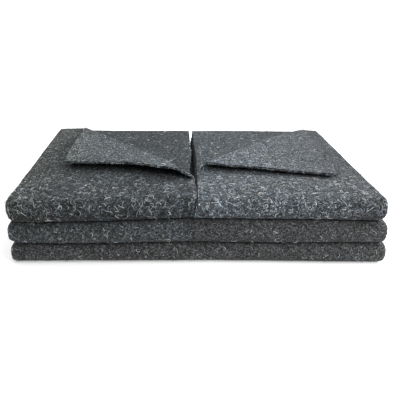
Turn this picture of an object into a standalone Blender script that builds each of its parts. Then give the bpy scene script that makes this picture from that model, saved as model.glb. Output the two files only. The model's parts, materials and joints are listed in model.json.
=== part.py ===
# Moving blanket stack: six felt blankets, each one solid, in two stacks of three.
# Every blanket is a strip folded twice across (four plies) and once over the front
# (eight plies). It is laid out flat and square first, the back corner of each top ply is
# turned back, and the whole is then bent to the uneven outline of the stack.
import bpy
import bmesh
from math import sin, cos, pi, exp, sqrt, copysign

for ob in list(bpy.data.objects):
    bpy.data.objects.remove(ob, do_unlink=True)

# one blanket, laid flat and square (m)
FELT = 0.0055          # thickness of the felt
WIDE = 0.457           # a quarter of 1.83 m
DEEP = 0.650           # half of 1.30 m
THICK = 0.0565         # eight plies, with air between them
PITCH = (THICK - FELT) / 7.0
NOSE = 3.5 * PITCH + FELT / 2.0     # radius of the front nose, outside
FOLD_U = WIDE - (1.5 * PITCH + FELT / 2.0)
GAP = 0.0003           # each blanket stays this far off the surface between two
NOSE_POWER = 2.0 / 2.35

# plan of every blanket in world metres, y = 0 at the front plane: side, layer,
# inner x at front and back, outer x at front and back, y of the front at the outer and
# the inner side, y of the back, how much narrower the outer side is at its bottom
LAYOUT = {
    "blanket_left_bottom":
        (-1, 0, (-0.0092, -0.0135), (-0.4575, -0.4575), (0.0000, 0.0085), 0.6480, -0.0025),
    "blanket_left_middle":
        (-1, 1, (-0.0103, -0.0118), (-0.4580, -0.4600), (-0.0030, 0.0010), 0.6530, 0.0000),
    "blanket_left_top":
        (-1, 2, (0.0047, 0.0050), (-0.4560, -0.4665), (0.0000, 0.0000), 0.6500, 0.0060),
    "blanket_right_bottom":
        (1, 0, (-0.0087, 0.0130), (0.4765, 0.4675), (0.0000, 0.0040), 0.6520, -0.0010),
    "blanket_right_middle":
        (1, 1, (-0.0098, 0.0000), (0.4705, 0.4700), (-0.0020, 0.0010), 0.6470, -0.0010),
    "blanket_right_top":
        (1, 2, (0.0052, 0.0150), (0.4625, 0.4715), (0.0010, 0.0000), 0.6490, 0.0020),
}

# how much further left the inner side of a top blanket is at its bottom, front and back
SEAM_LEAN = {"blanket_left_top": (0.0125, 0.0), "blanket_right_top": (0.0125, 0.0080)}

# outer side tucked in at a height, as a share of the blanket's height, and how far
TUCKED = {"blanket_left_bottom": (1.0, 0.0085), "blanket_left_middle": (0.0, 0.0120),
          "blanket_left_top": (0.0, 0.0060)}

# turned back corner of a top ply: plan points A (on the back edge), C (on the inner
# edge) and B (the tip), roll radius at A and at C, share of the width that slopes up or
# down, height of the free edge at B and near C, how far the free edge and the crest bow
# back, and how far the free edge bulges to the front near C
FLAPS = {
    "blanket_left_top": ((-0.3720, 0.650), (-0.0020, 0.128), (-0.3470, 0.212),
                         (0.0024, 0.0070), 0.9, (0.0210, 0.0315), (0.012, 0.012, 0.016)),
    "blanket_right_top": ((0.4200, 0.649), (0.0360, 0.218), (0.3740, 0.149),
                          (0.0024, 0.0120), 0.7, (0.0130, 0.0185), (0.000, 0.020, 0.000)),
}
PRESSED = 0.70         # felt at A is pressed to this share of its thickness

# grey of each blanket, as reflectance
SHADES = {
    "blanket_left_bottom": 0.060, "blanket_left_middle": 0.062, "blanket_left_top": 0.078,
    "blanket_right_bottom": 0.072, "blanket_right_middle": 0.070, "blanket_right_top": 0.105,
}


def bell(x, mid, half):
    return exp(-((x - mid) / half) ** 2)


def smooth(t):
    t = min(max(t, 0.0), 1.0)
    return t * t * (3.0 - 2.0 * t)


def surface(k, x, y):
    """Height of the surface under blanket layer k (k = 3 is the top of the stack)."""
    if k == 0:
        return 0.0
    if k == 1:
        z = 0.0545 + 0.0009 * cos(7.0 * x + 0.6) + 0.0008 * sin(9.0 * y + 3.0 * x)
        return z + 0.0014 * bell(x, 0.33, 0.12) + 0.0024 * bell(x, -0.47, 0.08)
    if k == 2:
        front = bell(y, 0.0, 0.46)
        z = 0.1105 + 0.0040 * smooth((x + 0.1) / 0.25)
        z += (0.0078 * bell(x, 0.0, 0.19) + 0.0022 * bell(x, 0.0, 0.105)) * front
        z += 0.0026 * bell(x, 0.24, 0.13) - 0.0008 * bell(x, -0.37, 0.11)
        return z + 0.0008 * sin(8.0 * y - 4.0 * x) - 0.0010 * bell(x, 0.46, 0.07)
    drop = 0.0012 + 0.0085 * smooth((x + 0.45) / 0.45)
    z = 0.1762 + 0.0022 * bell(x, -0.03, 0.20) - drop * max(y / DEEP, 0.0) ** 1.3
    z += 0.0010 * sin(6.5 * x + 0.8) + 0.0008 * sin(10.0 * y + 5.0 * x)
    return z - 0.0022 * bell(x, -0.47, 0.06) - 0.0018 * bell(x, 0.47, 0.06)


def strip_path(outer_runs):
    """Middle line of the folded strip in (u, q) with its left normal.

    It starts at the free edge at the inner side, top ply, and ends at the other free
    edge just below it.
    """
    big = 1.5 * PITCH
    small = 0.5 * PITCH
    low_u = small + FELT / 2.0
    inner_runs = (0.17, 0.32)
    path = [(u, big, 0.0, 1.0) for u in outer_runs]
    for k in range(9):
        a = pi / 2.0 - pi * k / 8.0
        path.append((FOLD_U + big * cos(a), big * sin(a), cos(a), sin(a)))
    path += [(u, -big, 0.0, -1.0) for u in reversed(inner_runs)]
    for k in range(5):
        a = -pi / 2.0 - pi * k / 4.0
        path.append((low_u + small * cos(a), -PITCH + small * sin(a), cos(a), sin(a)))
    path += [(u, -small, 0.0, 1.0) for u in inner_runs]
    for k in range(5):
        a = -pi / 2.0 + pi * k / 4.0
        path.append((FOLD_U + small * cos(a), small * sin(a), -cos(a), -sin(a)))
    path += [(u, small, 0.0, -1.0) for u in reversed(inner_runs)]
    path.append((0.0, small, 0.0, -1.0))
    return path


def stations(runs):
    """Places along the wrap over the front: (kind, value)."""
    out = [("top", v) for v in reversed(runs)]
    out += [("nose", pi * k / 8.0) for k in range(9)]
    return out + [("bottom", v) for v in runs]


def place(u, q, station):
    """Flat square position (u, v, w) of a point of the strip at a station."""
    kind, value = station
    r = 2.0 * PITCH + q
    if kind == "top":
        return (u, value, THICK / 2.0 + r)
    if kind == "bottom":
        return (u, value, THICK / 2.0 - r)
    sx = abs(sin(value)) ** NOSE_POWER
    cx = copysign(abs(cos(value)) ** NOSE_POWER, cos(value))
    if abs(cos(value)) < 1e-9:
        cx = 0.0
    if abs(sin(value)) < 1e-9:
        sx = 0.0
    return (u, NOSE - r * sx, THICK / 2.0 + r * cx)


def to_world(name, u, v, w):
    """Bend a flat square point to its place in the stack."""
    side, layer, inner, outer, front, back, narrow = LAYOUT[name]
    t = v / DEEP
    bow = sin(pi * min(max(t, 0.0), 1.0))
    xi = inner[0] + (inner[1] - inner[0]) * t
    lean = SEAM_LEAN.get(name, (0.0, 0.0))
    xi -= (lean[0] + (lean[1] - lean[0]) * t) * (1.0 - w / THICK)
    xo = outer[0] + (outer[1] - outer[0]) * t + side * 0.0030 * bow * (1 - layer * 0.6)
    xo -= side * narrow * (1.0 - w / THICK)
    high, tuck = TUCKED.get(name, (0.0, 0.0))
    xo -= side * tuck * (1.0 - smooth(abs(w / THICK - high) / 0.3))
    x = xi + (xo - xi) * u / WIDE
    start = front[1] + (front[0] - front[1]) * u / WIDE
    y = start + (back - start) * t
    y += (1.0 - t) * 0.0022 * sin(9.0 * x + 1.7 * layer + side)
    y += t * 0.0030 * sin(7.0 * x + 2.3 * layer + 2.0 * side)
    lo = surface(layer, x, y) + (GAP if layer else 0.0)
    hi = surface(layer + 1, x, y) - (GAP if layer < 2 else 0.0)
    return (x, y, lo + (hi - lo) * w / THICK)


def from_world(name, x, y):
    """Flat square (u, v) of a plan point on the top of a blanket."""
    u, v = abs(x), y
    for _ in range(30):
        wx, wy, _z = to_world(name, u, v, THICK)
        side = LAYOUT[name][0]
        u += side * (x - wx)
        v += y - wy
    return u, v


class Flap:
    """The back corner of a top ply, rolled over the line A-C and laid down to B."""

    def __init__(self, name):
        a, c, b, self.rolls, self.slope, self.rests, self.bows = FLAPS[name]
        self.a = from_world(name, *a)
        c = from_world(name, *c)
        b = from_world(name, *b)
        ex, ey = c[0] - self.a[0], c[1] - self.a[1]
        self.length = sqrt(ex * ex + ey * ey)
        self.e = (ex / self.length, ey / self.length)
        self.n = (self.e[1], -self.e[0])
        corner = (0.0, DEEP)
        if self.beyond(*corner) < 0.0:
            self.n = (-self.n[0], -self.n[1])
        along = self.along(*corner)
        self.tip = along
        self.width = self.beyond(*corner)
        self.lift_off = c[1]
        past = self.beyond(*corner) - (pi - 1.0) * self.roll(along)
        bx, by = b[0] - self.a[0], b[1] - self.a[1]
        self.shear = (bx * self.e[0] + by * self.e[1] - along) / past
        self.scale = -(bx * self.n[0] + by * self.n[1]) / past

    def along(self, u, v):
        return (u - self.a[0]) * self.e[0] + (v - self.a[1]) * self.e[1]

    def beyond(self, u, v):
        return (u - self.a[0]) * self.n[0] + (v - self.a[1]) * self.n[1]

    def roll(self, along):
        """Radius of the roll: small where it is pressed at A, larger towards C."""
        t = min(max(along / self.length, 0.0), 1.0)
        return self.rolls[0] + (self.rolls[1] - self.rolls[0]) * t

    def cuts(self):
        """Lines of equal place on the roll and slope, as two plan points each."""
        ends = ((0.0, self.rolls[0]), (self.length, self.rolls[1]))
        lines = [[(along, (pi * k / 6.0 - 1.0) * radius) for along, radius in ends]
                 for k in range(7)]
        ends = ((self.tip, 1.0), (self.length, 0.08))
        for share in (0.2, 0.4, 0.6, 0.8, 1.0):
            full = share * self.slope * self.width
            lines.append([(along, (pi - 1.0) * self.roll(along) + full * part)
                          for along, part in ends])
        return [[(self.a[0] + along * self.e[0] + d * self.n[0],
                  self.a[1] + along * self.e[1] + d * self.n[1]) for along, d in line]
                for line in lines]

    def height(self, past, along, radius):
        t = (along - self.tip) / (self.length - self.tip)
        rest = self.rests[0] + (self.rests[1] - self.rests[0]) * smooth(t / 0.85)
        rest += (2.0 * radius - rest) * smooth((t - 0.84) / 0.16)
        slope = self.slope * self.width * min(max(1.0 - t, 0.08), 1.0)
        return 2.0 * radius + (rest - 2.0 * radius) * smooth(past / slope)

    def bow(self, u, v, a, d):
        """How far a point moves back: the free edge and the crest are not quite straight."""
        s = (v - self.lift_off) / (DEEP - self.lift_off)
        edge = self.bows[0] * sin(pi * min(max(s, 0.0), 1.0)) * (1.0 - smooth(u / 0.2))
        edge -= self.bows[2] * bell(s, 0.23, 0.15)
        t = min(max(a / self.length, 0.0), 1.0)
        near = smooth((d + 0.12) / 0.12) * (1.0 - smooth((d - 0.04) / 0.16))
        return edge * smooth(d / 0.06) + self.bows[1] * sin(pi * t) * near * smooth(u / 0.08)

    def apply(self, u, v, w):
        if w < THICK / 2.0 + 3.0 * PITCH:
            return (u, v, w)
        a = self.along(u, v)
        r = self.roll(a)
        d = self.beyond(u, v) + r
        back = self.bow(u, v, a, d)
        if d <= 1e-6:
            return (u, v + back, w)
        mid = THICK - FELT / 2.0
        o = (w - mid) * (PRESSED + (1.0 - PRESSED) * smooth(a / 0.20))
        if d < pi * r:
            th = d / r
            plan = r * sin(th) - o * sin(th)
            high = r * (1.0 - cos(th)) + o * cos(th)
        else:
            past = d - pi * r
            step = 1e-4
            rise = (self.height(past + step, a, r) - self.height(past, a, r)) / step
            rise = rise if past > 0.002 else 0.0
            size = sqrt(1.0 + rise * rise)
            plan = -past * self.scale - o * rise / size
            high = self.height(past, a, r) - o / size
            a += self.shear * past
        plan -= r
        x = self.a[0] + a * self.e[0] + plan * self.n[0]
        y = self.a[1] + a * self.e[1] + plan * self.n[1]
        return (x, y + back, mid + high)


def blanket(name):
    runs = [0.135, 0.265, 0.395, 0.525, DEEP]
    path = strip_path((0.0, 0.030, 0.085, 0.145, 0.205, 0.265, 0.325, 0.385))
    steps = stations(runs)
    half = FELT / 2.0
    bm = bmesh.new()
    rows = []
    for st in steps:
        left = [bm.verts.new(place(u + nu * half, q + nq * half, st)) for u, q, nu, nq in path]
        right = [bm.verts.new(place(u - nu * half, q - nq * half, st)) for u, q, nu, nq in path]
        rows.append((left, right))
    last = len(path) - 1
    for j in range(len(steps) - 1):
        (la, ra), (lb, rb) = rows[j], rows[j + 1]
        for i in range(last):
            bm.faces.new((la[i], la[i + 1], lb[i + 1], lb[i]))
            bm.faces.new((ra[i + 1], ra[i], rb[i], rb[i + 1]))
        bm.faces.new((ra[0], la[0], lb[0], rb[0]))
        bm.faces.new((la[last], ra[last], rb[last], lb[last]))
    for (left, right), turn in ((rows[0], False), (rows[-1], True)):
        for i in range(last):
            quad = (left[i], right[i], right[i + 1], left[i + 1])
            bm.faces.new(tuple(reversed(quad)) if turn else quad)
    bm.normal_update()
    flap = Flap(name) if name in FLAPS else None
    if flap:
        limit = THICK / 2.0 + 3.0 * PITCH
        for p, q in flap.cuts():
            faces = [f for f in bm.faces if all(v.co.z > limit for v in f.verts)
                     and all(v.co.y > NOSE - 1e-6 for v in f.verts)
                     and all(v.co.x < FOLD_U + 1e-6 for v in f.verts)]
            edges = list({e for f in faces for e in f.edges})
            verts = list({v for f in faces for v in f.verts})
            across = (p[1] - q[1], q[0] - p[0], 0.0)
            bmesh.ops.bisect_plane(bm, geom=verts + edges + faces, dist=1e-6,
                                   plane_co=(p[0], p[1], 0.0), plane_no=across)
    bmesh.ops.triangulate(bm, faces=list(bm.faces))
    for v in bm.verts:
        u, d, w = v.co
        if flap:
            u, d, w = flap.apply(u, d, w)
        x, y, z = to_world(name, u, d, w)
        v.co = (x, y, z)
    bmesh.ops.recalc_face_normals(bm, faces=list(bm.faces))
    if bm.calc_volume(signed=True) < 0.0:
        bmesh.ops.reverse_faces(bm, faces=list(bm.faces))
    mesh = bpy.data.meshes.new(name)
    bm.to_mesh(mesh)
    bm.free()
    mesh.shade_smooth()
    mesh.set_sharp_from_angle(angle=1.0)
    mesh.materials.append(felt(name, SHADES[name]))
    ob = bpy.data.objects.new(name, mesh)
    bpy.context.collection.objects.link(ob)
    return ob


def felt(name, grey):
    """Matt recycled-fibre felt of one shade."""
    mat = bpy.data.materials.new("felt_" + name)
    mat.use_nodes = True
    shader = mat.node_tree.nodes["Principled BSDF"]
    shader.inputs["Base Color"].default_value = (grey, grey * 1.03, grey * 1.06, 1.0)
    shader.inputs["Roughness"].default_value = 0.95
    shader.inputs["Metallic"].default_value = 0.0
    return mat


def centre(blankets):
    """Hang all blankets on one empty whose origin is the middle of the box's underside."""
    points = [v.co for ob in blankets for v in ob.data.vertices]
    mid_x = (min(p.x for p in points) + max(p.x for p in points)) / 2.0
    mid_y = (min(p.y for p in points) + max(p.y for p in points)) / 2.0
    low_z = min(p.z for p in points)
    stack = bpy.data.objects.new("stack", None)
    bpy.context.collection.objects.link(stack)
    for ob in blankets:
        ob.parent = stack
        ob.location = (-mid_x, -mid_y, -low_z)


made = [blanket(part) for part in LAYOUT]
centre(made)
for ob in made:
    print(ob.name, len(ob.data.polygons), "triangles")
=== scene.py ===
"""Two stacks of folded felt moving blankets, side by side.

Every blanket is one closed felt strip: folded in half twice across, then once over the
front. It is laid out flat and square, the back corner of each top ply is rolled over, and
the whole is bent to the uneven stack. Loose threads lie on every face that shows.
"""

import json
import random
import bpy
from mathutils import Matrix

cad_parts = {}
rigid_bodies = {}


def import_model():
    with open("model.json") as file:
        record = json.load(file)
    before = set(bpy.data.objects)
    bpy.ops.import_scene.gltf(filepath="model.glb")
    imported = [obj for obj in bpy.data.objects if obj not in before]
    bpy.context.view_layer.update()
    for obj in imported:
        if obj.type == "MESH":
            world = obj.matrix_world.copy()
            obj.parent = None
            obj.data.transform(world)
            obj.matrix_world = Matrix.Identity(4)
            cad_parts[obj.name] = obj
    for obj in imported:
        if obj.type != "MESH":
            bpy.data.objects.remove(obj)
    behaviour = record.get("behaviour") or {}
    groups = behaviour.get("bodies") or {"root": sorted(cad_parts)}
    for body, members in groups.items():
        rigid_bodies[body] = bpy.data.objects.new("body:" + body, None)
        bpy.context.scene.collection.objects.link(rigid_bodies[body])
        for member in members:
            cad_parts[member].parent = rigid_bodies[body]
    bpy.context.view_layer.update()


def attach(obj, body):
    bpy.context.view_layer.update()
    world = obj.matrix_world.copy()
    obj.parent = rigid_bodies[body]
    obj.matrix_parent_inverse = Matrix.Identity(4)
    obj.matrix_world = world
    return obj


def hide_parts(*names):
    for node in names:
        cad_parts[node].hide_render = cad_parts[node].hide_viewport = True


bl_info = {
    "name": "Moving Blanket Stack",
    "version": (1, 0, 0),
    "blender": (4, 5, 0),
    "location": "View3D > Sidebar > Blankets",
    "description": "Builds two stacks of folded felt moving blankets",
    "category": "Add Mesh",
}

from collections import namedtuple
from math import copysign, cos, exp, pi, radians, sin, sqrt

import bmesh
import bpy
from bpy.props import FloatProperty, FloatVectorProperty, IntProperty, PointerProperty
from mathutils import Matrix, Vector, noise
from mathutils.bvhtree import BVHTree

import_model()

# All lengths are in metres. Middle of the stack's box, from the front plane and the seam:
STACK_MIDDLE = (0.00611, 0.32553)

# Plan of a blanket, measured from the front plane and the seam: side (-1 left, 1 right),
# layer, inner x at front and back, outer x at front and back, y of the front at the outer
# and the inner side, y of the back, how much narrower the outer side is at its bottom
Plan = namedtuple("Plan", "side layer inner outer front back narrow")
LAYOUT = {
    "blanket_left_bottom": Plan(
        -1, 0, (-0.0092, -0.0135), (-0.4575, -0.4575), (0.0000, 0.0085), 0.6480, -0.0025),
    "blanket_left_middle": Plan(
        -1, 1, (-0.0103, -0.0118), (-0.4580, -0.4600), (-0.0030, 0.0010), 0.6530, 0.0000),
    "blanket_left_top": Plan(
        -1, 2, (0.0047, 0.0050), (-0.4560, -0.4665), (0.0000, 0.0000), 0.6500, 0.0060),
    "blanket_right_bottom": Plan(
        1, 0, (-0.0087, 0.0130), (0.4765, 0.4675), (0.0000, 0.0040), 0.6520, -0.0010),
    "blanket_right_middle": Plan(
        1, 1, (-0.0098, 0.0000), (0.4705, 0.4700), (-0.0020, 0.0010), 0.6470, -0.0010),
    "blanket_right_top": Plan(
        1, 2, (0.0052, 0.0150), (0.4625, 0.4715), (0.0010, 0.0000), 0.6490, 0.0020),
}
TOP_LAYER = 2
HEIGHTS = (0.0, 0.0545, 0.1105, 0.1762)    # mean height of the surface under each layer
LOWER = [name for name, plan in LAYOUT.items() if plan.layer < TOP_LAYER]
UPPER = [name for name, plan in LAYOUT.items() if plan.layer == TOP_LAYER]
NUMBER = {name: i for i, name in enumerate(LAYOUT)}

# How much further left the inner side of a top blanket is at its bottom, front and back
SEAM_LEAN = {"blanket_left_top": (0.0125, 0.0), "blanket_right_top": (0.0125, 0.0080)}

# Outer side tucked in at a height, as a share of the blanket's height, and how far
TUCKED = {"blanket_left_bottom": (1.0, 0.0085), "blanket_left_middle": (0.0, 0.0120),
          "blanket_left_top": (0.0, 0.0060)}
TUCK_HALF = 0.3        # over this share of the height

# Where the seam gapes: how far, where along the depth and over what half length, and how
# far back the top ply takes part
GAPES = {"blanket_left_top": (0.0095, 0.33, 0.15, 0.17),
         "blanket_right_top": (0.0056, 0.48, 0.32, 0.29)}
GAPE_FADE = 0.06

# How far the inner top edge droops, and over what width and length from its ends
DROOPS = {"blanket_right_top": 0.0050}
DROOP_WIDTH = 0.010
DROOP_START = 0.05
DROOP_FADE = 0.3

# Turned back corner of a top ply.
# back, inner, tip: plan points where the fold meets the back and the inner edge, and where
# the corner itself comes to lie. rolls: radius of the fold at back and at inner. slope:
# share of the width that slopes up or down. rests: height of the free edge at the tip and
# near inner. settles: where along the fold it starts to come down. bow, bulge: how far the
# free edge bows back, and bulges to the front near inner. crest, crest_end: how far the
# fold bows back in its middle, and more near inner.
Corner = namedtuple(
    "Corner", "back inner tip rolls slope rests settles bow bulge crest crest_end")
FLAPS = {
    "blanket_left_top": Corner(
        back=(-0.3720, 0.650), inner=(-0.0020, 0.128), tip=(-0.3470, 0.212),
        rolls=(0.0024, 0.0070), slope=0.9, rests=(0.0225, 0.0315), settles=0.90,
        bow=0.012, bulge=0.016, crest=0.012, crest_end=0.022),
    "blanket_right_top": Corner(
        back=(0.4200, 0.649), inner=(0.0360, 0.218), tip=(0.3740, 0.149),
        rolls=(0.0024, 0.0120), slope=0.7, rests=(0.0130, 0.0200), settles=0.84,
        bow=0.000, bulge=0.000, crest=0.020, crest_end=0.000),
}
BULGE_AT, BULGE_HALF = 0.23, 0.15          # as shares of the free edge
CREST_END_AT, CREST_END_HALF = 0.80, 0.13  # as shares of the fold
RISES_OVER = 0.85      # share of the free edge over which its height changes
SHORTEST_SLOPE = 0.08  # as a share of the longest
BOW_REACH = 0.20       # how far from the free edge its bow fades out
BOW_EASE = 0.06        # and how far from the fold it starts
BEFORE_FOLD = 0.12     # the crest's bow moves the felt from so far before the fold
PAST_FOLD, PAST_FADE = 0.04, 0.16          # to so far past it, and fades over this
SIDE_EASE = 0.08       # and not at the inner edge
PRESSED = 0.70         # share of its thickness to which the felt is pressed at back
SEARCHES = 30          # steps to find a plan point in the flat strip
GAP = 0.0003           # each blanket stays this far off the surface between two
NOSE_POWER = 2.0 / 2.35    # the front nose is a little fuller than a half circle

# Steps of the mesh: across an outer ply and along the upper plies, for the top and the
# lower blankets, then across an inner ply, round the nose, along the lower plies, and
# round a large fold, a small fold and a turned corner's roll
TOP_STEPS = (46, 64)
LOWER_STEPS = (24, 24)
INNER_STEPS, NOSE_STEPS, UNDER_STEPS = 12, 20, 14
BIG_FOLD_STEPS, SMALL_FOLD_STEPS, ROLL_STEPS = 12, 8, 14

# The turned corner is painted lighter than the felt around it: painted light for the light that
# its slope catches
CORNER_PAINTED_LIGHT = {"blanket_left_top": 1.36, "blanket_right_top": 1.16}
BARED_PAINTED_SHADE = 0.80    # painted shade on the lower ply that the corner bares: a little darker
CREST_PAINTED_HIGHLIGHT = 1.22   # painted highlight along the crest of the roll
CREST_WIDE = 0.5       # how far past the roll that goes, in roll radii
EDGE_FUZZ = 3.5        # how much thicker loose fibres stand on the corner's cut edge
SLOT_DARKER = 0.30     # little light reaches the plies' ends in the seam

# Grey of the felt of each blanket, how much blue it has against red, and how strongly
# its flecks stand out
SHADES = {
    "blanket_left_bottom": (0.037, 1.04, 0.70), "blanket_left_middle": (0.033, 1.20, 0.95),
    "blanket_left_top": (0.026, 1.38, 2.20), "blanket_right_bottom": (0.039, 1.06, 0.48),
    "blanket_right_middle": (0.034, 1.06, 0.48), "blanket_right_top": (0.038, 1.37, 1.75),
}

# Tint with painted light and shade across the top blankets, as stops of x + 0.5 with the share
# of red, green and blue: a warmer, lighter left end, painted light near the seam and painted
# shade at the right end
ACROSS_TINT_LIGHT_AND_SHADE = {
    "blanket_left_top": ((0.04, (1.52, 1.36, 1.14)), (0.20, (1.10, 1.06, 1.01)),
                         (0.50, (1.04, 1.04, 1.04))),
    "blanket_right_top": ((0.52, (1.13, 1.15, 1.16)), (0.70, (0.97, 0.95, 0.95)),
                          (0.92, (0.54, 0.50, 0.51))),
}
# Painted shade towards the front of the left top blanket, painted light towards the front of the
# right one
FRONT_PAINTED_LIGHT_AND_SHADE = {"blanket_left_top": 0.64, "blanket_right_top": 1.38}
FRONT_FROM, FRONT_TO = 0.18, 0.42    # between these places of y + 0.5
NOSE_UNDERSIDE_SHADE = 0.42        # painted shade: the underside of a top blanket's nose is darker
LOW_FROM, LOW_TO = 0.622, 0.660      # between these places of z + 0.5

# Felt: patches, tints, flecks, fibres, curls and fuzz in a metre
PATCHES = 14.0
TINTS = 120.0
FLECKS = 330.0
FLECK_BENDS = 230.0
FLECK_BENT_BY = 0.007
FIBRES = 560.0
CURLS = 120.0
PALE_CURLS = 110.0
FUZZ = 300.0
FUZZ_HEIGHT = 0.0014
PATCH_TONES = ((0.3, 0.80), (0.7, 1.20))
TINT_TONES = ((0.30, (0.95, 0.99, 1.06)), (0.50, (1.0, 1.0, 1.0)), (0.72, (1.05, 1.0, 0.93)))
FIBRE_TONES = ((0.34, 0.25), (0.5, 0.90), (0.66, 2.2))

# Curls: width of a line, how much of it is left out, strength, colour against the grey
LIGHT_CURL = (0.036, 0.46, 0.6, (4.6, 4.9, 5.1))
PALE_CURL = (0.024, 0.49, 0.6, (8.0, 8.2, 8.2))
DARK_CURL = (0.055, 0.48, 0.7, (0.12, 0.13, 0.15))

# Colours that the loose threads are drawn from, and the light and dark along each
THREAD_COLOURS = (
    (0.00, (0.020, 0.021, 0.024)), (0.24, (0.055, 0.060, 0.068)),
    (0.52, (0.15, 0.17, 0.19)), (0.74, (0.32, 0.36, 0.42)),
    (0.84, (0.42, 0.41, 0.32)), (0.92, (0.62, 0.67, 0.72)),
    (0.985, (0.80, 0.82, 0.80)), (0.995, (0.18, 0.09, 0.07)))
THREAD_TONES = ((0.3, 0.7), (0.7, 1.15))

# Loose threads
STEPS = 5                         # in one thread
TRACED = 0.02                     # a thread follows the felt within this reach
LENGTHS = (0.45, 1.6)             # shortest and longest, as shares of the mean
RADII = (0.6, 1.6)                # thinnest and thickest, as shares of the mean
BENDS = (0.10, 0.95)              # how much it curls at each step, and by what share
BEND_SHARE, BEND_WANDER = 0.8, 0.25    # of that it turns, and how far the curl wanders
LIFTED = 0.0022                   # highest loop
LOOSE_SHARE, LOOSE_END = 0.08, 0.0040    # threads with a loose end, and its height
SHORTER_BELOW = 0.75              # threads of the lower blankets
CLUMPS, CLUMPED = 24.0, 1.3       # clumps in a metre, and how strong they are
SPARSEST = 0.15                   # between clumps
ON_TOP, ON_FRONT = 0.12, 0.98     # on the top blankets
FRONT_EDGE, FRONT_REACH = 0.04, 0.16    # how far back the front lies and fades
UNDER_NOSE = 0.35                 # below their rounded fronts, which lies lower than
NOSE_LOW, NOSE_RISE = 0.118, 0.026      # this, and fades over this height
ON_LOWER = {-1: 0.50, 1: 0.32}    # on the lower blankets of the left and right stack
OPEN_ABOVE = 0.030                # a face shows if nothing lies this close over it
FLOOR_CLEAR = 0.003               # no thread starts lower

# Stage
FLOOR_SIZE = 24.0
FLOOR_DROP = 0.0004
LIGHT_SIZE = 0.6
KEY_PLACE, KEY_AIM = (1.75, 0.45, 0.95), (0.0, 0.0, 0.15)
FRONT_PLACE, FRONT_AIM = (0.85, -1.15, 0.85), (0.15, -0.3, 0.12)
DOME_TOWARD = (0.20, 0.0, 1.0)
DOME_LOW, DOME_LOW_AT = 0.10, 0.15    # grey of the dome low down, and how low that is
BACKGROUND = 1.1                      # brightness of the white that the camera sees
SENSOR = 36.0                         # mm
FRAME, FOCAL, SHIFT = 400.0, 466.608, 26.9087    # pixels
CAMERA_PLACE = (-0.05969, -1.32482, 0.62448)
CAMERA_DOWN = 24.088                  # degrees


# Settings


class BlanketSettings(bpy.types.PropertyGroup):
    """Sizes of one folded blanket."""
    felt: FloatProperty(
        name="Felt thickness", description="Thickness of the felt", default=0.0055,
        unit="LENGTH", precision=4)
    wide: FloatProperty(
        name="Folded width", description="Width of one folded blanket", default=0.457,
        unit="LENGTH", precision=3)
    deep: FloatProperty(
        name="Folded depth", description="Depth of one folded blanket", default=0.650,
        unit="LENGTH", precision=3)
    thick: FloatProperty(
        name="Folded height", description="Height of eight plies with air between them",
        default=0.0565, unit="LENGTH", precision=4)
    lumps: FloatProperty(
        name="Lumps", description="Height of the soft lumps in the felt", default=0.0011,
        unit="LENGTH", precision=4)
    ragged: FloatProperty(
        name="Ragged edge", description="How far a cut edge wanders", default=0.0022,
        unit="LENGTH", precision=4)


class ThreadSettings(bpy.types.PropertyGroup):
    """Loose threads on the felt."""
    density: FloatProperty(
        name="Density", description="Threads on one square metre", default=11500.0,
        min=0.0)
    length: FloatProperty(
        name="Length", description="Mean length of a thread", default=0.014,
        unit="LENGTH", precision=4)
    radius: FloatProperty(
        name="Radius", description="Mean radius of a thread", default=0.00034,
        unit="LENGTH", precision=5)
    seed: IntProperty(name="Seed", description="Other threads for each number", default=7)


class StageSettings(bpy.types.PropertyGroup):
    """Floor, light and camera."""
    floor: FloatVectorProperty(
        name="Floor", description="Colour of the floor", subtype="COLOR", size=3,
        default=(0.80, 0.80, 0.80), min=0.0, max=1.0)
    glow: FloatProperty(
        name="Floor glow", description="Light that the floor gives off", default=0.29)
    key: FloatProperty(
        name="Key light", description="Power of the light at the right", default=52.0,
        unit="POWER")
    fill: FloatProperty(
        name="Front light", description="Power of the light in front", default=10.0,
        unit="POWER")
    dome: FloatProperty(
        name="Dome light", description="Strength of the light from above", default=2.0)


# Shape of the folded strip


def bell(x, mid, half):
    return exp(-((x - mid) / half) ** 2)


def smooth(t):
    t = min(max(t, 0.0), 1.0)
    return t * t * (3.0 - 2.0 * t)


def wander(x, y, z=0.0):
    """Soft noise between about -1 and 1."""
    return noise.noise(Vector((x, y, z)))


class Fold:
    """Measures of one folded strip, worked out from the settings."""

    def __init__(self, settings):
        self.felt = settings.felt
        self.wide = settings.wide
        self.deep = settings.deep
        self.thick = settings.thick
        self.lumps = settings.lumps
        self.ragged = settings.ragged
        self.pitch = (self.thick - self.felt) / 7.0
        self.nose = 3.5 * self.pitch + self.felt / 2.0
        self.fold_u = self.wide - (1.5 * self.pitch + self.felt / 2.0)
        self.under_top_ply = self.thick / 2.0 + 3.0 * self.pitch


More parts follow.
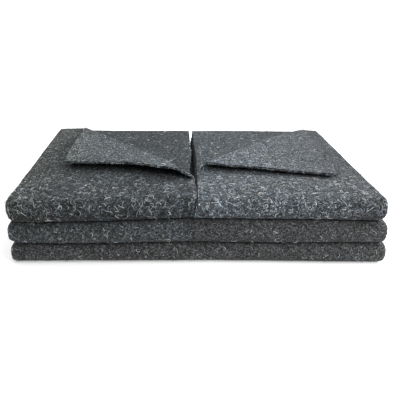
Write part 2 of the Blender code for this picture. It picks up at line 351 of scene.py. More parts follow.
def surface(fold, k, x, y):
    """Height of the surface under blanket layer k (k = 3 is the top of the stack).

    Each term is one wave or swell: its height, and how long it is or where it lies.
    """
    if k == 0:
        return HEIGHTS[0]
    lump = fold.lumps * (wander(9.0 * x, 9.0 * y, 3.7 * k)
                         + 0.45 * wander(27.0 * x, 27.0 * y, 8.1 * k))
    if k == 1:
        z = HEIGHTS[1] + 0.0009 * cos(7.0 * x + 0.6) + 0.0008 * sin(9.0 * y + 3.0 * x)
        z += 0.0014 * bell(x, 0.33, 0.12) + 0.0024 * bell(x, -0.47, 0.08)
        return z + 0.5 * lump
    if k == 2:
        front = bell(y, 0.0, 0.46)
        z = HEIGHTS[2] + 0.0040 * smooth((x + 0.1) / 0.25)
        z += (0.0078 * bell(x, 0.0, 0.19) + 0.0022 * bell(x, 0.0, 0.105)) * front
        z += 0.0026 * bell(x, 0.24, 0.13) - 0.0008 * bell(x, -0.37, 0.11)
        z += 0.0008 * sin(8.0 * y - 4.0 * x) - 0.0010 * bell(x, 0.46, 0.07)
        return z + 0.6 * lump
    drop = 0.0012 + 0.0085 * smooth((x + 0.45) / 0.45)
    z = HEIGHTS[3] + 0.0022 * bell(x, -0.03, 0.20) - drop * max(y / fold.deep, 0.0) ** 1.3
    z += 0.0010 * sin(6.5 * x + 0.8) + 0.0008 * sin(10.0 * y + 5.0 * x)
    z -= 0.0022 * bell(x, -0.47, 0.06) + 0.0018 * bell(x, 0.47, 0.06)
    z -= 0.0040 * (1.0 - smooth(y / 0.09)) * smooth((0.47 - abs(x)) / 0.12)
    return z + lump


def spread(start, end, count):
    """Evenly spaced values from start up to, and without, end."""
    return [start + (end - start) * i / count for i in range(count)]


def strip_path(fold, fine, coarse):
    """Middle line of the folded strip in (u, q) with its left normal.

    It starts at the free edge at the inner side, top ply, and ends at the other free
    edge just below it. fine and coarse are the steps across the outer and inner plies.
    """
    big = 1.5 * fold.pitch
    small = 0.5 * fold.pitch
    low_u = small + fold.felt / 2.0
    inner = spread(low_u, fold.fold_u, coarse)[1:]
    path = [(u, big, 0.0, 1.0) for u in spread(0.0, fold.fold_u, fine)]
    for k in range(BIG_FOLD_STEPS + 1):
        a = pi / 2.0 - pi * k / BIG_FOLD_STEPS
        path.append((fold.fold_u + big * cos(a), big * sin(a), cos(a), sin(a)))
    path += [(u, -big, 0.0, -1.0) for u in reversed(inner)]
    for k in range(SMALL_FOLD_STEPS + 1):
        a = -pi / 2.0 - pi * k / SMALL_FOLD_STEPS
        path.append((low_u + small * cos(a), -fold.pitch + small * sin(a), cos(a), sin(a)))
    path += [(u, -small, 0.0, 1.0) for u in inner]
    for k in range(SMALL_FOLD_STEPS + 1):
        a = -pi / 2.0 + pi * k / SMALL_FOLD_STEPS
        path.append((fold.fold_u + small * cos(a), small * sin(a), -cos(a), -sin(a)))
    path += [(u, small, 0.0, -1.0) for u in reversed(spread(0.0, fold.fold_u, fine)[1:])]
    path.append((0.0, small, 0.0, -1.0))
    return path


def wrap_stations(fold, over, round_front, under):
    """Places along the wrap over the front, from the back on top to the back below."""
    out = [("top", v) for v in spread(fold.deep, fold.nose, over)]
    out += [("nose", pi * k / round_front) for k in range(round_front + 1)]
    return out + [("bottom", v) for v in reversed(spread(fold.deep, fold.nose, under))]


def on_wrap(fold, u, q, station):
    """Flat square position (u, v, w) of a point of the strip at a station."""
    kind, value = station
    r = 2.0 * fold.pitch + q
    if kind == "top":
        return (u, value, fold.thick / 2.0 + r)
    if kind == "bottom":
        return (u, value, fold.thick / 2.0 - r)
    s = sin(value)
    c = cos(value)
    sx = abs(s) ** NOSE_POWER if abs(s) > 1e-9 else 0.0
    cx = copysign(abs(c) ** NOSE_POWER, c) if abs(c) > 1e-9 else 0.0
    return (u, fold.nose - r * sx, fold.thick / 2.0 + r * cx)


def ragged(fold, name, u, v, w):
    """Let the cut edges wander a little, ply by ply, always inwards."""
    ply = round((w - fold.felt / 2.0) / fold.pitch)
    key = 5.3 * ply + 17.0 * NUMBER[name]
    back = fold.ragged * (0.5 + 0.5 * wander(14.0 * u, 3.1, key) + 0.25 * wander(60.0 * u, key))
    side = fold.ragged * (0.5 + 0.5 * wander(14.0 * v, 7.7, key) + 0.25 * wander(60.0 * v, key))
    t = v / fold.deep
    side *= smooth((t - 0.15) / 0.3)
    if name in GAPES:
        far, mid, half, end = GAPES[name]
        part = 1.0 if w < fold.under_top_ply else 1.0 - smooth((t - end) / GAPE_FADE)
        side += far * bell(t, mid, half) * part
    u += side * (1.0 - smooth(u / 0.05))
    v -= back * smooth((v - fold.deep + 0.03) / 0.03)
    return u, v


def to_stack(fold, name, u, v, w):
    """Bend a flat square point to its place in the stack."""
    side, layer, inner, outer, front, back, narrow = LAYOUT[name]
    t = v / fold.deep
    bow = sin(pi * min(max(t, 0.0), 1.0))
    xi = inner[0] + (inner[1] - inner[0]) * t
    lean = SEAM_LEAN.get(name, (0.0, 0.0))
    xi -= (lean[0] + (lean[1] - lean[0]) * t) * (1.0 - w / fold.thick)
    xo = outer[0] + (outer[1] - outer[0]) * t + side * 0.0030 * bow * (1 - layer * 0.6)
    xo -= side * narrow * (1.0 - w / fold.thick)
    high, tuck = TUCKED.get(name, (0.0, 0.0))
    xo -= side * tuck * (1.0 - smooth(abs(w / fold.thick - high) / TUCK_HALF))
    xo += side * 0.0012 * wander(11.0 * v, 20.0 * w, 9.0 * layer + side)
    x = xi + (xo - xi) * u / fold.wide
    start = front[1] + (front[0] - front[1]) * u / fold.wide
    start += 0.0010 * wander(13.0 * x, 16.0 * w, 4.0 * layer)
    y = start + (back - start) * t
    y += (1.0 - t) * 0.0022 * sin(9.0 * x + 1.7 * layer + side)
    y += t * 0.0030 * sin(7.0 * x + 2.3 * layer + 2.0 * side)
    lo = surface(fold, layer, x, y) + (GAP if layer else 0.0)
    hi = surface(fold, layer + 1, x, y) - (GAP if layer < TOP_LAYER else 0.0)
    if name in DROOPS:
        droop = DROOPS[name] * bell(u, 0.0, DROOP_WIDTH) * smooth((t - DROOP_START) / DROOP_FADE)
        hi -= droop * smooth((1.0 - t) / DROOP_FADE)
    return (x, y, lo + (hi - lo) * w / fold.thick)


def from_stack(fold, name, x, y):
    """Flat square (u, v) of a plan point on the top of a blanket."""
    side = LAYOUT[name].side
    u, v = abs(x), y
    for _ in range(SEARCHES):
        wx, wy, _z = to_stack(fold, name, u, v, fold.thick)
        u += side * (x - wx)
        v += y - wy
    return u, v


class Flap:
    """The back corner of a top ply, rolled over the fold line and laid down."""

    def __init__(self, fold, name):
        self.shape = FLAPS[name]
        self.fold = fold
        self.key = 3.0 + 7.0 * NUMBER[name]
        self.a = from_stack(fold, name, *self.shape.back)
        c = from_stack(fold, name, *self.shape.inner)
        b = from_stack(fold, name, *self.shape.tip)
        ex, ey = c[0] - self.a[0], c[1] - self.a[1]
        self.length = sqrt(ex * ex + ey * ey)
        self.e = (ex / self.length, ey / self.length)
        self.n = (self.e[1], -self.e[0])
        corner = (0.0, fold.deep)
        if self.beyond(*corner) < 0.0:
            self.n = (-self.n[0], -self.n[1])
        along = self.along(*corner)
        self.tip = along
        self.width = self.beyond(*corner)
        self.lift_off = c[1]
        past = self.beyond(*corner) - (pi - 1.0) * self.roll(along)
        bx, by = b[0] - self.a[0], b[1] - self.a[1]
        self.shear = (bx * self.e[0] + by * self.e[1] - along) / past
        self.scale = -(bx * self.n[0] + by * self.n[1]) / past

    def along(self, u, v):
        return (u - self.a[0]) * self.e[0] + (v - self.a[1]) * self.e[1]

    def beyond(self, u, v):
        return (u - self.a[0]) * self.n[0] + (v - self.a[1]) * self.n[1]

    def roll(self, along):
        """Radius of the roll: small where it is pressed at back, larger towards inner."""
        t = min(max(along / self.length, 0.0), 1.0)
        small, large = self.shape.rolls
        return small + (large - small) * t

    def cuts(self):
        """Lines of equal place on the roll and slope, as two plan points each."""
        steps = [(pi * k / ROLL_STEPS - 1.0, 0.0) for k in range(ROLL_STEPS + 1)]
        steps += [(pi - 1.0, 0.004 * f) for f in (1, 2.5)]
        lines = []
        for turns, past in steps:
            ends = []
            for along, radius in zip((0.0, self.length), self.shape.rolls):
                d = turns * radius + past
                ends.append((self.a[0] + along * self.e[0] + d * self.n[0],
                             self.a[1] + along * self.e[1] + d * self.n[1]))
            lines.append(ends)
        return lines

    def side_of(self, middle):
        """Which felt a face of the flat strip shows.

        0 plain, 1 turned corner, 2 bared ply, 3 ends of the plies in the seam, 4 cut
        edge of the turned corner, 5 crest of its roll.
        """
        fold = self.fold
        if middle.y < fold.nose or middle.x > fold.fold_u:
            return 0
        if middle.z < fold.under_top_ply:
            if middle.x < 1e-4:
                return 3
            return 2 if middle.z > fold.under_top_ply - fold.pitch else 0
        if middle.x < 1e-4 or middle.y > fold.deep - 1e-4:
            return 4
        along = self.along(middle.x, middle.y)
        turns = self.beyond(middle.x, middle.y) / self.roll(along) + 1.0
        if turns < pi / 2.0:
            return 0
        return 5 if turns < pi + CREST_WIDE else 1

    def height(self, past, along, radius):
        t = (along - self.tip) / (self.length - self.tip)
        low, high = self.shape.rests
        rest = low + (high - low) * smooth(t / RISES_OVER)
        settles = self.shape.settles
        rest += (2.0 * radius - rest) * smooth((t - settles) / (1.0 - settles))
        slope = self.shape.slope * self.width * min(max(1.0 - t, SHORTEST_SLOPE), 1.0)
        return 2.0 * radius + (rest - 2.0 * radius) * smooth(past / slope)

    def bow(self, u, v, a, d):
        """How far a point moves back: neither the free edge nor the fold is quite straight."""
        s = (v - self.lift_off) / (self.fold.deep - self.lift_off)
        shape = self.shape
        edge = shape.bow * sin(pi * min(max(s, 0.0), 1.0)) * (1.0 - smooth(u / BOW_REACH))
        edge -= shape.bulge * bell(s, BULGE_AT, BULGE_HALF)
        t = min(max(a / self.length, 0.0), 1.0)
        near = smooth((d + BEFORE_FOLD) / BEFORE_FOLD)
        near *= 1.0 - smooth((d - PAST_FOLD) / PAST_FADE)
        crest = shape.crest * sin(pi * t)
        crest += shape.crest_end * bell(t, CREST_END_AT, CREST_END_HALF)
        return edge * smooth(d / BOW_EASE) + crest * near * smooth(u / SIDE_EASE)

    def apply(self, u, v, w):
        """Place a point of the flat top ply on the roll or on the corner beyond it."""
        fold = self.fold
        a = self.along(u, v)
        r = self.roll(a)
        d = self.beyond(u, v) + r
        if w < fold.under_top_ply:
            return (u, v, w)
        back = self.bow(u, v, a, d)
        if d <= 1e-6:
            return (u, v + back, w)
        mid = fold.thick - fold.felt / 2.0
        o = (w - mid) * (PRESSED + (1.0 - PRESSED) * smooth(a / 0.20))
        if d < pi * r:
            turn = d / r
            plan = r * sin(turn) - o * sin(turn)
            high = r * (1.0 - cos(turn)) + o * cos(turn)
        else:
            past = d - pi * r
            step = 1e-4
            rise = (self.height(past + step, a, r) - self.height(past, a, r)) / step
            rise = rise if past > 0.002 else 0.0
            size = sqrt(1.0 + rise * rise)
            plan = -past * self.scale - o * rise / size
            high = self.height(past, a, r) - o / size
            ease = smooth(past / 0.05)
            high += ease * fold.lumps * wander(16.0 * u, 16.0 * v, self.key)
            a += self.shear * past
        plan -= r
        x = self.a[0] + a * self.e[0] + plan * self.n[0]
        y = self.a[1] + a * self.e[1] + plan * self.n[1]
        return (x, y + back, mid + high)


def cut_for_roll(bm, fold, flap):
    """Cut the flat top ply along the lines that the roll bends it on."""
    for p, q in flap.cuts():
        faces = [f for f in bm.faces if all(v.co.z > fold.under_top_ply for v in f.verts)
                 and all(v.co.y > fold.nose - 1e-6 for v in f.verts)
                 and all(v.co.x < fold.fold_u + 1e-6 for v in f.verts)]
        edges = list({e for f in faces for e in f.edges})
        verts = list({v for f in faces for v in f.verts})
        across = (p[1] - q[1], q[0] - p[0], 0.0)
        bmesh.ops.bisect_plane(bm, geom=verts + edges + faces, dist=1e-6,
                               plane_co=(p[0], p[1], 0.0), plane_no=across)


def flat_strip(fold, path, stations):
    """Closed felt strip, folded but square, as a bmesh in (u, v, w)."""
    half = fold.felt / 2.0
    last = len(path) - 1
    bm = bmesh.new()
    rows = []
    for st in stations:
        left = [bm.verts.new(on_wrap(fold, u + nu * half, q + nq * half, st))
                for u, q, nu, nq in path]
        right = [bm.verts.new(on_wrap(fold, u - nu * half, q - nq * half, st))
                 for u, q, nu, nq in path]
        rows.append((left, right))
    for (la, ra), (lb, rb) in zip(rows[:-1], rows[1:]):
        for i in range(last):
            bm.faces.new((la[i], la[i + 1], lb[i + 1], lb[i]))
            bm.faces.new((ra[i + 1], ra[i], rb[i], rb[i + 1]))
        bm.faces.new((ra[0], la[0], lb[0], rb[0]))
        bm.faces.new((la[last], ra[last], rb[last], lb[last]))
    for left, right in (rows[0], rows[-1]):
        for i in range(last):
            bm.faces.new((left[i], right[i], right[i + 1], left[i + 1]))
    bmesh.ops.recalc_face_normals(bm, faces=list(bm.faces))
    return bm


def build_blanket(fold, name, materials):
    """Make one blanket's felt as a finished object."""
    top = name in FLAPS
    wide_steps, deep_steps = TOP_STEPS if top else LOWER_STEPS
    path = strip_path(fold, wide_steps, INNER_STEPS)
    stations = wrap_stations(fold, deep_steps, NOSE_STEPS, UNDER_STEPS)
    bm = flat_strip(fold, path, stations)
    flap = Flap(fold, name) if top else None
    if flap:
        cut_for_roll(bm, fold, flap)
    bmesh.ops.triangulate(bm, faces=list(bm.faces))
    if flap:
        for face in bm.faces:
            face.material_index = flap.side_of(face.calc_center_median())
    for vert in bm.verts:
        u, v, w = vert.co
        u, v = ragged(fold, name, u, v, w)
        if flap:
            u, v, w = flap.apply(u, v, w)
        x, y, z = to_stack(fold, name, u, v, w)
        vert.co = (x - STACK_MIDDLE[0], y - STACK_MIDDLE[1], z)
    bmesh.ops.recalc_face_normals(bm, faces=list(bm.faces))
    if bm.calc_volume(signed=True) < 0.0:
        bmesh.ops.reverse_faces(bm, faces=list(bm.faces))
    mesh = bpy.data.meshes.new(name + "_felt")
    bm.to_mesh(mesh)
    bm.free()
    mesh.shade_smooth()
    mesh.set_sharp_from_angle(angle=radians(50.0))
    for material in materials:
        mesh.materials.append(material)
    ob = bpy.data.objects.new(name + "_felt", mesh)
    bpy.context.collection.objects.link(ob)
    return ob


# Materials


class Nodes:
    """Short helpers to lay out a node tree."""

    def __init__(self, name):
        self.material = bpy.data.materials.new(name)
        self.material.use_nodes = True
        self.tree = self.material.node_tree
        self.shader = self.tree.nodes["Principled BSDF"]
        self.coords = self.tree.nodes.new("ShaderNodeTexCoord").outputs["Object"]

    def link(self, source, socket):
        self.tree.links.new(source, socket)

    def shifted(self, x, y, z):
        node = self.tree.nodes.new("ShaderNodeMapping")
        node.inputs["Location"].default_value = (x, y, z)
        self.link(self.coords, node.inputs["Vector"])
        return node.outputs["Vector"]

    def place_along(self, axis):
        """The object's own x, y or z, in metres, plus a half."""
        node = self.tree.nodes.new("ShaderNodeSeparateXYZ")
        self.link(self.coords, node.inputs["Vector"])
        return self.math("ADD", node.outputs[axis], 0.5)

    def each_thread(self):
        """One random number for each loose thread."""
        return self.tree.nodes.new("ShaderNodeNewGeometry").outputs["Random Per Island"]

    def clouds(self, scale, detail=2.0, rough=0.5, twist=0.0, at=None):
        node = self.tree.nodes.new("ShaderNodeTexNoise")
        node.inputs["Scale"].default_value = scale
        node.inputs["Detail"].default_value = detail
        node.inputs["Roughness"].default_value = rough
        node.inputs["Distortion"].default_value = twist
        self.link(at or self.coords, node.inputs["Vector"])
        return node.outputs["Fac"]

    def bent(self, at, scale, by):
        """The same place, pushed about by noise so that cells turn to fibre shapes."""
        noisy = self.tree.nodes.new("ShaderNodeTexNoise")
        noisy.inputs["Scale"].default_value = scale
        noisy.inputs["Detail"].default_value = 1.0
        self.link(at, noisy.inputs["Vector"])
        push = self.tree.nodes.new("ShaderNodeVectorMath")
        push.operation = "MULTIPLY_ADD"
        self.link(noisy.outputs["Color"], push.inputs[0])
        push.inputs[1].default_value = (by, by, by)
        self.link(at, push.inputs[2])
        return push.outputs["Vector"]

    def first_channel(self, colour):
        """The first channel of a random colour, as a number."""
        node = self.tree.nodes.new("ShaderNodeSeparateColor")
        self.link(colour, node.inputs["Color"])
        return node.outputs[0]

    def cells(self, scale, at):
        node = self.tree.nodes.new("ShaderNodeTexVoronoi")
        node.inputs["Scale"].default_value = scale
        self.link(at, node.inputs["Vector"])
        return node.outputs["Color"]

    def ramp(self, source, stops):
        node = self.tree.nodes.new("ShaderNodeValToRGB")
        ramp = node.color_ramp
        while len(ramp.elements) < len(stops):
            ramp.elements.new(0.5)
        for element, (place, colour) in zip(ramp.elements, stops):
            element.position = place
            if isinstance(colour, (int, float)):
                colour = (colour, colour, colour)
            element.color = (*colour, 1.0)
        self.link(source, node.inputs["Fac"])
        return node.outputs["Color"]

    def math(self, operation, a, b=None):
        node = self.tree.nodes.new("ShaderNodeMath")
        node.operation = operation
        for socket, value in zip(node.inputs, (a, b)):
            if value is None:
                continue
            if isinstance(value, (int, float)):
                socket.default_value = value
            else:
                self.link(value, socket)
        return node.outputs["Value"]

    def mix(self, blend, fac, a, b):
        node = self.tree.nodes.new("ShaderNodeMix")
        node.data_type = "RGBA"
        node.blend_type = blend
        for socket, value in ((node.inputs[0], fac), (node.inputs[6], a), (node.inputs[7], b)):
            if isinstance(value, (int, float)):
                socket.default_value = value
            elif isinstance(value, tuple):
                socket.default_value = (*value, 1.0)
            else:
                self.link(value, socket)
        return node.outputs[2]

    def bump(self, height, strength, distance):
        node = self.tree.nodes.new("ShaderNodeBump")
        node.inputs["Strength"].default_value = strength
        node.inputs["Distance"].default_value = distance
        self.link(height, node.inputs["Height"])
        self.link(node.outputs["Normal"], self.shader.inputs["Normal"])


def curls(nodes, scale, curl, at):
    """Mask of thin curly lines, broken into short lengths."""
    width, keep = curl[:2]
    field = nodes.clouds(scale, 1.0, 0.5, 1.6, at)
    off = nodes.math("ABSOLUTE", nodes.math("SUBTRACT", field, 0.5))
    line = nodes.ramp(off, ((0.0, 1.0), (width, 0.0)))
    breaks = nodes.ramp(nodes.clouds(scale * 2.3, 1.0, 0.5, 0.0, at),
                        ((keep, 0.0), (keep + 0.05, 1.0)))
    return nodes.math("MULTIPLY", line, breaks)


def lay_curls(nodes, colour, mask, curl, grey):
    """Colour with one kind of curl laid over it."""
    strength, shares = curl[2:]
    shade = tuple(grey * share for share in shares)
    return nodes.mix("MIX", nodes.math("MULTIPLY", mask, strength), colour, shade)


def felt_material(name, grey, blue, fleck):
    """Dark recycled-fibre felt: mottled grey with fine fibres and light curls."""
    nodes = Nodes("felt_" + name)
    shift = 3.0 * NUMBER[name]
    at = nodes.shifted(shift, 1.7 * shift, 0.6 * shift)
    base = (grey / sqrt(blue), grey * blue ** 0.12, grey * sqrt(blue))
    patches = nodes.ramp(nodes.clouds(PATCHES, 3.0, 0.6, 0.4, at), PATCH_TONES)
    tint = nodes.ramp(nodes.clouds(TINTS, 2.0, 0.6, 0.5, at), TINT_TONES)
    bent = nodes.bent(at, FLECK_BENDS, FLECK_BENT_BY)
    flecks = nodes.ramp(nodes.first_channel(nodes.cells(FLECKS, bent)),
                        ((0.0, 0.18), (0.45, 0.55), (0.72, 1.05),
                         (0.90, 1.0 + 1.2 * fleck), (1.0, 1.0 + 3.6 * fleck)))
    fine = nodes.ramp(nodes.clouds(FIBRES, 3.0, 0.65, 1.2, at), FIBRE_TONES)
    colour = nodes.mix("MULTIPLY", 1.0, base, patches)
    if name in ACROSS_TINT_LIGHT_AND_SHADE:
        # tint, painted light and painted shade across the blanket
        across = nodes.ramp(nodes.place_along("X"), ACROSS_TINT_LIGHT_AND_SHADE[name])
        colour = nodes.mix("MULTIPLY", 1.0, colour, across)
        # painted shade towards the front on the left blanket, painted light on the right one
        front_light_and_shade = nodes.ramp(nodes.place_along("Y"),
                              ((FRONT_FROM, FRONT_PAINTED_LIGHT_AND_SHADE[name]), (FRONT_TO, 1.0)))
        colour = nodes.mix("MULTIPLY", 1.0, colour, front_light_and_shade)
        # painted shade under the nose
        below = nodes.ramp(nodes.place_along("Z"), ((LOW_FROM, NOSE_UNDERSIDE_SHADE), (LOW_TO, 1.0)))
        colour = nodes.mix("MULTIPLY", 1.0, colour, below)
    colour = nodes.mix("MULTIPLY", 1.0, colour, tint)
    colour = nodes.mix("MULTIPLY", 1.0, colour, flecks)
    colour = nodes.mix("MULTIPLY", 1.0, colour, fine)
    light = curls(nodes, CURLS, LIGHT_CURL, at)
    pale = curls(nodes, PALE_CURLS, PALE_CURL, nodes.shifted(9.0 + shift, 4.0, 2.0))
    dark = curls(nodes, CURLS, DARK_CURL, nodes.shifted(2.0, 14.0 + shift, 5.0))
    colour = lay_curls(nodes, colour, dark, DARK_CURL, grey)
    colour = lay_curls(nodes, colour, light, LIGHT_CURL, grey)
    colour = lay_curls(nodes, colour, pale, PALE_CURL, grey)
    nodes.link(colour, nodes.shader.inputs["Base Color"])
    nodes.shader.inputs["Roughness"].default_value = 0.95
    nodes.shader.inputs["Specular IOR Level"].default_value = 0.12
    nodes.shader.inputs["Sheen Weight"].default_value = 0.03
    nodes.shader.inputs["Sheen Roughness"].default_value = 0.6
    height = nodes.math("ADD", nodes.clouds(FUZZ, 4.0, 0.7, 0.8, at),
                        nodes.math("MULTIPLY", light, 0.5))
    nodes.bump(height, 0.7, FUZZ_HEIGHT)
    return nodes.material


def thread_material():
    """Loose threads of many greys, with a few blue, tan and red ones."""
    nodes = Nodes("threads")
    colour = nodes.ramp(nodes.each_thread(), THREAD_COLOURS)
    streaks = nodes.ramp(nodes.clouds(900.0, 2.0, 0.6), THREAD_TONES)
    nodes.link(nodes.mix("MULTIPLY", 1.0, colour, streaks), nodes.shader.inputs["Base Color"])
    nodes.shader.inputs["Roughness"].default_value = 0.85
    nodes.shader.inputs["Specular IOR Level"].default_value = 0.2
    nodes.bump(nodes.clouds(1500.0, 2.0), 0.3, 0.0002)
    return nodes.material


# Loose threads


def whole_tree(felts):
    """One search tree over the felt of all blankets."""
    points = []
    faces = []
    for ob in felts:
        base = len(points)
        points += [tuple(v.co) for v in ob.data.vertices]
        faces += [tuple(base + i for i in p.vertices) for p in ob.data.polygons]
    return BVHTree.FromPolygons(points, faces)


def shows(tree, point, normal):
    """True where nothing lies close over the point."""
    if point.z < FLOOR_CLEAR:
        return False
    hit = tree.ray_cast(point + normal * 0.0006, normal, OPEN_ABOVE)
    return hit[0] is None


def thickly(name, point):
    """How thickly threads lie: in clumps, and most on the front of the top blankets."""
    clump = 1.0 + CLUMPED * wander(CLUMPS * point.x, CLUMPS * point.y, CLUMPS * point.z)
    front = 1.0 - smooth((point.y + STACK_MIDDLE[1] - FRONT_EDGE) / FRONT_REACH)
    if name in FLAPS:
        low = UNDER_NOSE + (1.0 - UNDER_NOSE) * smooth((point.z - NOSE_LOW) / NOSE_RISE)
        return max(clump, SPARSEST) * (ON_TOP + ON_FRONT * front) * low
    return max(clump, SPARSEST) * ON_LOWER[LAYOUT[name].side]


def thread_line(rng, tree, point, normal, settings, reach):
    """Points of one curly thread that lies on the felt, with their normals."""
    length = settings.length * reach * rng.uniform(*LENGTHS)
    step = length / STEPS
    side = normal.orthogonal().normalized()
    heading = Matrix.Rotation(rng.uniform(0.0, 2.0 * pi), 3, normal) @ side
    bend = rng.choice((-1.0, 1.0)) * rng.uniform(*BENDS)
    lift = rng.random() ** 3 * LIFTED
    loose = rng.random() < LOOSE_SHARE
    line = []
    here = point.copy()
    for i in range(STEPS + 1):
        near, up, _index, _gap = tree.find_nearest(here, TRACED)
        if near is None:
            break
        t = i / STEPS
        raise_by = lift * 4.0 * t * (1.0 - t) + settings.radius * 0.6
        if loose:
            raise_by += LOOSE_END * t * t
        here = near + up * raise_by
        here.z = max(here.z, settings.radius * 2.0)
        line.append((here, up))
        heading = (heading - up * heading.dot(up)).normalized()
        bend += rng.uniform(-BEND_WANDER, BEND_WANDER)
        heading = Matrix.Rotation(bend * BEND_SHARE, 3, up) @ heading
        here = near + heading * step
    return line


def add_tube(verts, faces, line, radius):
    """Three-sided tube along a line of (point, normal) pairs, closed at both ends."""
    start = len(verts)
    count = len(line)
    for i, (point, up) in enumerate(line):
        ahead = line[min(i + 1, count - 1)][0] - line[max(i - 1, 0)][0]
        if ahead.length < 1e-7:
            ahead = up.orthogonal()
        across = ahead.cross(up).normalized()
        thin = radius * (0.55 if i in (0, count - 1) else 1.0)
        verts.append(point + up * thin)
        verts.append(point + across * thin - up * thin * 0.5)
        verts.append(point - across * thin - up * thin * 0.5)
    for i in range(count - 1):
        a = start + 3 * i
        for j in range(3):
            k = (j + 1) % 3
            faces.append((a + j, a + k, a + 3 + k, a + 3 + j))
    faces.append((start, start + 2, start + 1))
    end = start + 3 * (count - 1)
    faces.append((end, end + 1, end + 2))


def build_threads(name, felt, tree, settings, material):
    """All loose threads of one blanket as one object."""
    rng = random.Random(settings.seed + 31 * NUMBER[name])
    reach = 1.0 if name in FLAPS else SHORTER_BELOW
    verts = []
    faces = []
    for face in felt.data.polygons:
        fuzz = EDGE_FUZZ if face.material_index == 4 else 0.0
        share = face.area * settings.density * (thickly(name, face.center) + fuzz)
        number = int(share) + (1 if rng.random() < share - int(share) else 0)
        for _ in range(number):
            a, b = rng.random(), rng.random()
            if a + b > 1.0:
                a, b = 1.0 - a, 1.0 - b
            p, q, r = (felt.data.vertices[i].co for i in face.vertices)
            point = p + (q - p) * a + (r - p) * b
            if not shows(tree, point, face.normal):
                continue
            line = thread_line(rng, tree, point, face.normal, settings, reach)
            if len(line) > 2:
                add_tube(verts, faces, line, settings.radius * rng.uniform(*RADII))
    mesh = bpy.data.meshes.new(name + "_threads")
    mesh.from_pydata(verts, [], faces)
    mesh.materials.append(material)
    mesh.shade_smooth()
    ob = bpy.data.objects.new(name + "_threads", mesh)
    bpy.context.collection.objects.link(ob)
    return ob


# Operators


def place_felts(context, names):
    """Build the felt of the named blankets in place of their plain solids."""
    settings = context.scene.blanket_settings
    fold = Fold(settings)
    for name in names:
        grey, blue, fleck = SHADES[name]
        materials = [felt_material(name, grey, blue, fleck)]
        if name in FLAPS:
            # Copies of the felt with painted light and shade: a lighter corner, painted shade on
            # the bared ply and in the seam slot, a painted highlight on the crest
            corner = felt_material(name, grey * CORNER_PAINTED_LIGHT[name], blue, fleck * 1.2)
            bared = felt_material(name, grey * BARED_PAINTED_SHADE, blue, fleck)
            slot = felt_material(name, grey * SLOT_DARKER, blue, fleck)
            crest = felt_material(name, grey * CORNER_PAINTED_LIGHT[name] * CREST_PAINTED_HIGHLIGHT, blue, fleck)
            materials += [corner, bared, slot, corner, crest]
        felt = build_blanket(fold, name, materials)
        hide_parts(name)
        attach(felt, "root")


class BLANKETS_OT_lower(bpy.types.Operator):
    """Build the two lower blankets of each stack"""
    bl_idname = "blankets.lower"
    bl_label = "Lower Blankets"

    def execute(self, context):
        place_felts(context, LOWER)
        return {"FINISHED"}


class BLANKETS_OT_upper(bpy.types.Operator):
    """Build the top blanket of each stack, with its corner turned back"""
    bl_idname = "blankets.upper"
    bl_label = "Top Blankets"

    def execute(self, context):
        place_felts(context, UPPER)
        return {"FINISHED"}


class BLANKETS_OT_threads(bpy.types.Operator):
    """Strew loose threads over every face that shows"""
    bl_idname = "blankets.threads"
    bl_label = "Loose Threads"

    def execute(self, context):
        settings = context.scene.thread_settings
        felts = {name: bpy.data.objects[name + "_felt"] for name in LAYOUT}
        tree = whole_tree(felts.values())
        material = thread_material()
        for name, felt in felts.items():
            threads = build_threads(name, felt, tree, settings, material)
            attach(threads, "root")
        return {"FINISHED"}


def area_light(name, place, aim, power):
    """Large soft white light at a place, turned to a point."""
    data = bpy.data.lights.new(name, "AREA")
    data.shape = "RECTANGLE"
    data.size = LIGHT_SIZE
    data.size_y = LIGHT_SIZE
    data.energy = power
    ob = bpy.data.objects.new(name, data)
    ob.location = place
    ob.rotation_euler = (Vector(aim) - Vector(place)).to_track_quat("-Z", "Y").to_euler()
    bpy.context.collection.objects.link(ob)


def soft_dome(strength):
    """Light from all above, a little more from the right; the background is white."""
    world = bpy.data.worlds.new("studio")
    world.use_nodes = True
    tree = world.node_tree
    back = tree.nodes["Background"]
    back.inputs["Color"].default_value = (1.0, 1.0, 1.0, 1.0)
    coords = tree.nodes.new("ShaderNodeTexCoord")
    toward = tree.nodes.new("ShaderNodeVectorMath")
    toward.operation = "DOT_PRODUCT"
    toward.inputs[1].default_value = Vector(DOME_TOWARD).normalized()
    tree.links.new(coords.outputs["Generated"], toward.inputs[0])
    ramp = tree.nodes.new("ShaderNodeValToRGB")
    ramp.color_ramp.elements[0].position = DOME_LOW_AT
    ramp.color_ramp.elements[0].color = (DOME_LOW, DOME_LOW, DOME_LOW, 1.0)
    ramp.color_ramp.elements[1].color = (1.0, 1.0, 1.0, 1.0)
    ramp.color_ramp.interpolation = "EASE"
    tree.links.new(toward.outputs["Value"], ramp.inputs["Fac"])
    bright = tree.nodes.new("ShaderNodeMath")
    bright.operation = "MULTIPLY"
    bright.inputs[1].default_value = strength
    tree.links.new(ramp.outputs["Color"], bright.inputs[0])
    path = tree.nodes.new("ShaderNodeLightPath")
    seen = tree.nodes.new("ShaderNodeMix")
    seen.inputs[3].default_value = BACKGROUND
    tree.links.new(path.outputs["Is Camera Ray"], seen.inputs[0])
    tree.links.new(bright.outputs["Value"], seen.inputs[2])
    tree.links.new(seen.outputs[0], back.inputs["Strength"])
    return world


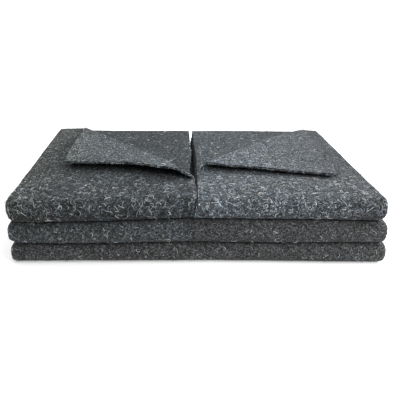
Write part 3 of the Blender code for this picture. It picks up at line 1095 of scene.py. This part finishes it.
class BLANKETS_OT_stage(bpy.types.Operator):
    """Lay the floor, set the lights and point the camera"""
    bl_idname = "blankets.stage"
    bl_label = "Stage"

    def execute(self, context):
        settings = context.scene.stage_settings
        bpy.ops.mesh.primitive_plane_add(size=FLOOR_SIZE, location=(0.0, 0.0, -FLOOR_DROP))
        floor = context.object
        floor.name = "floor"
        nodes = Nodes("floor")
        grain = nodes.ramp(nodes.clouds(3.0, 2.0), ((0.3, 0.97), (0.7, 1.0)))
        nodes.link(nodes.mix("MULTIPLY", 1.0, tuple(settings.floor), grain),
                   nodes.shader.inputs["Base Color"])
        nodes.shader.inputs["Roughness"].default_value = 0.9
        nodes.shader.inputs["Specular IOR Level"].default_value = 0.1
        nodes.shader.inputs["Emission Color"].default_value = (1.0, 1.0, 1.0, 1.0)
        nodes.shader.inputs["Emission Strength"].default_value = settings.glow
        floor.data.materials.append(nodes.material)
        area_light("key", KEY_PLACE, KEY_AIM, settings.key)
        area_light("front", FRONT_PLACE, FRONT_AIM, settings.fill)
        context.scene.world = soft_dome(settings.dome)
        context.scene.view_settings.view_transform = "Standard"
        data = bpy.data.cameras.new("camera")
        data.sensor_width = SENSOR
        data.lens = FOCAL / FRAME * SENSOR
        data.shift_x = SHIFT / FRAME
        camera = bpy.data.objects.new("camera", data)
        camera.location = CAMERA_PLACE
        camera.rotation_euler = (radians(90.0 - CAMERA_DOWN), 0.0, 0.0)
        bpy.context.collection.objects.link(camera)
        context.scene.camera = camera
        return {"FINISHED"}


class BLANKETS_PT_panel(bpy.types.Panel):
    """Steps and sizes of the blanket stack"""
    bl_label = "Blankets"
    bl_idname = "BLANKETS_PT_panel"
    bl_space_type = "VIEW_3D"
    bl_region_type = "UI"
    bl_category = "Blankets"

    def draw(self, context):
        layout = self.layout
        scene = context.scene
        for group, names in (
                (scene.blanket_settings, ("felt", "wide", "deep", "thick", "lumps", "ragged")),
                (scene.thread_settings, ("density", "length", "radius", "seed")),
                (scene.stage_settings, ("floor", "glow", "key", "fill", "dome"))):
            box = layout.box()
            for name in names:
                box.prop(group, name)
        for operator in (BLANKETS_OT_lower, BLANKETS_OT_upper, BLANKETS_OT_threads,
                         BLANKETS_OT_stage):
            layout.operator(operator.bl_idname)


CLASSES = (
    BlanketSettings, ThreadSettings, StageSettings, BLANKETS_OT_lower, BLANKETS_OT_upper,
    BLANKETS_OT_threads, BLANKETS_OT_stage, BLANKETS_PT_panel,
)


def register():
    for cls in CLASSES:
        bpy.utils.register_class(cls)
    bpy.types.Scene.blanket_settings = PointerProperty(type=BlanketSettings)
    bpy.types.Scene.thread_settings = PointerProperty(type=ThreadSettings)
    bpy.types.Scene.stage_settings = PointerProperty(type=StageSettings)


def unregister():
    del bpy.types.Scene.stage_settings
    del bpy.types.Scene.thread_settings
    del bpy.types.Scene.blanket_settings
    for cls in reversed(CLASSES):
        bpy.utils.unregister_class(cls)


def main():
    register()
    bpy.ops.blankets.stage()
    bpy.ops.blankets.lower()
    bpy.ops.blankets.upper()
    bpy.ops.blankets.threads()


if __name__ == "__main__":
    main()
